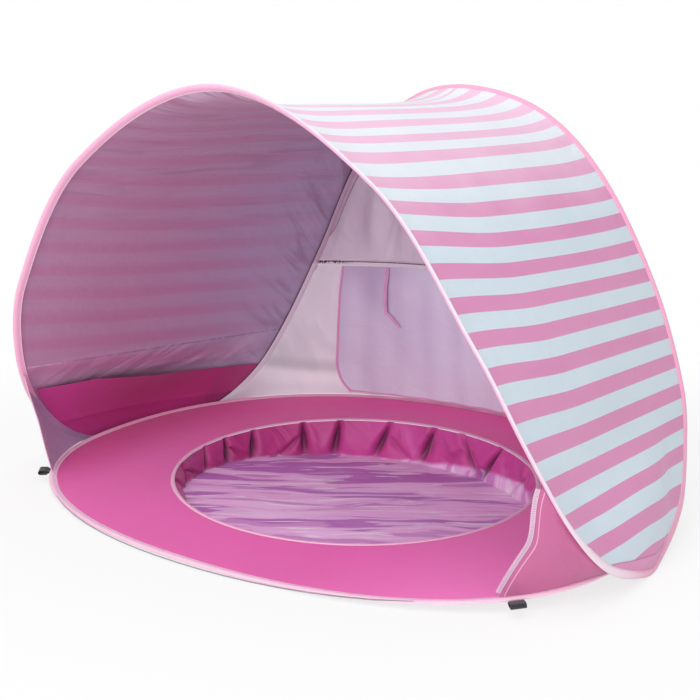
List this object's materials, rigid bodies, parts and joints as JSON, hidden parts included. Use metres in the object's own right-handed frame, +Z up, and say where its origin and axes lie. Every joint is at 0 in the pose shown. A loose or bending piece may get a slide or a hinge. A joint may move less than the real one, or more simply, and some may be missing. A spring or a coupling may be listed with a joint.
{
  "type": "pop-up play tent with paddling pool",
  "caption": "Pop-up beach play tent: arched striped canopy on a bent spring hoop, oval floor ring with a gathered paddling pool, sand pockets in the rounded tips, back wall with a roll-up flap.",
  "frame": {"origin": "on the ground under the middle of the tent's outer box, where its tips and its pool stand", "axes": "+X to the right seen from the front, along the tent's length from tip to tip; the front of the tent faces -Y; +Z up"},
  "size_m": [1.165, 0.81, 0.7092],
  "materials": {
    "spring_steel": "drawn spring wire",
    "light_pink_binding": "folded light pink polyester binding with a stitched edge",
    "striped_canopy": "coated polyester, striped outside and silvery mauve inside",
    "deep_pink_cloth": "plain woven polyester",
    "pool_cloth": "coated waterproof polyester, gathered",
    "pool_floor_print": "coated waterproof polyester with a printed ripple pattern",
    "mid_pink_cloth": "thin woven polyester, slightly translucent",
    "lilac_wall": "silver-coated polyester",
    "grey_net": "fine polyester net",
    "lilac_flap": "silver-coated polyester",
    "pink_ribbon": "woven ribbon",
    "dark_webbing": "polypropylene webbing"
  },
  "bodies": {
    "tent": {"canopy_cloth": "striped_canopy", "rear_arch_wire_left": "spring_steel", "rear_arch_wire_right": "spring_steel", "rear_arch_binding": "light_pink_binding", "canopy_hoop_ferrule": "spring_steel", "floor_hoop_wire": "spring_steel", "floor_hoop_binding": "light_pink_binding", "floor_hoop_ferrule": "spring_steel", "floor_panel": "deep_pink_cloth", "pool_edge_binding": "light_pink_binding", "pool_wall": "pool_cloth", "pool_floor": "pool_floor_print", "sand_pocket_left": "deep_pink_cloth", "sand_pocket_right": "deep_pink_cloth", "pocket_hem_left": "light_pink_binding", "pocket_hem_right": "light_pink_binding", "gusset_left": "mid_pink_cloth", "gusset_right": "mid_pink_cloth", "gusset_tape_left": "light_pink_binding", "gusset_tape_right": "light_pink_binding", "back_wall_lower": "lilac_wall", "back_wall_upper": "lilac_wall", "back_seam_tape": "light_pink_binding", "window_net": "grey_net"},
    "front_arch": {"front_arch_wire": "spring_steel", "front_arch_binding": "light_pink_binding"},
    "flap": {"window_flap": "lilac_flap", "flap_binding_left": "light_pink_binding", "flap_binding_right": "light_pink_binding", "flap_binding_bottom": "light_pink_binding", "flap_tie_left": "pink_ribbon", "flap_tie_right": "pink_ribbon"},
    "front_left_loop": {"peg_loop_front_left": "dark_webbing"},
    "front_right_loop": {"peg_loop_front_right": "dark_webbing"},
    "rear_left_loop": {"peg_loop_rear_left": "dark_webbing"},
    "rear_right_loop": {"peg_loop_rear_right": "dark_webbing"}
  },
  "joints": [
    {"name": "front_arch_fold", "type": "hinge", "parent": "tent", "child": "front_arch", "pos_m": [0, -0.25737, 0.21224], "axis": [-1, 0, 0], "range_deg": [0, 30], "stiffness_Nm_per_rad": 1, "springref_deg": -9.74, "deforming": ["canopy_cloth"]},
    {"name": "window_flap_lift", "type": "hinge", "parent": "tent", "child": "flap", "pos_m": [0, 0.36239, 0.349], "axis": [-1, 0, 0], "range_deg": [0, 100]},
    {"name": "front_right_loop_lift", "type": "hinge", "parent": "tent", "child": "front_right_loop", "pos_m": [0.49434, -0.23955, 0.01871], "axis": [-0.6676, -0.7405, -0.0779], "range_deg": [0, 45]},
    {"name": "front_left_loop_lift", "type": "hinge", "parent": "tent", "child": "front_left_loop", "pos_m": [-0.49434, -0.23955, 0.01871], "axis": [-0.6676, 0.7405, 0.0779], "range_deg": [0, 45]},
    {"name": "rear_right_loop_lift", "type": "hinge", "parent": "tent", "child": "rear_right_loop", "pos_m": [0.19287, 0.38426, 0.08469], "axis": [0.9704, -0.24, -0.0251], "range_deg": [0, 90]},
    {"name": "rear_left_loop_lift", "type": "hinge", "parent": "tent", "child": "rear_left_loop", "pos_m": [-0.19287, 0.38426, 0.08469], "axis": [0.9704, 0.24, 0.0251], "range_deg": [0, 90]}
  ]
}
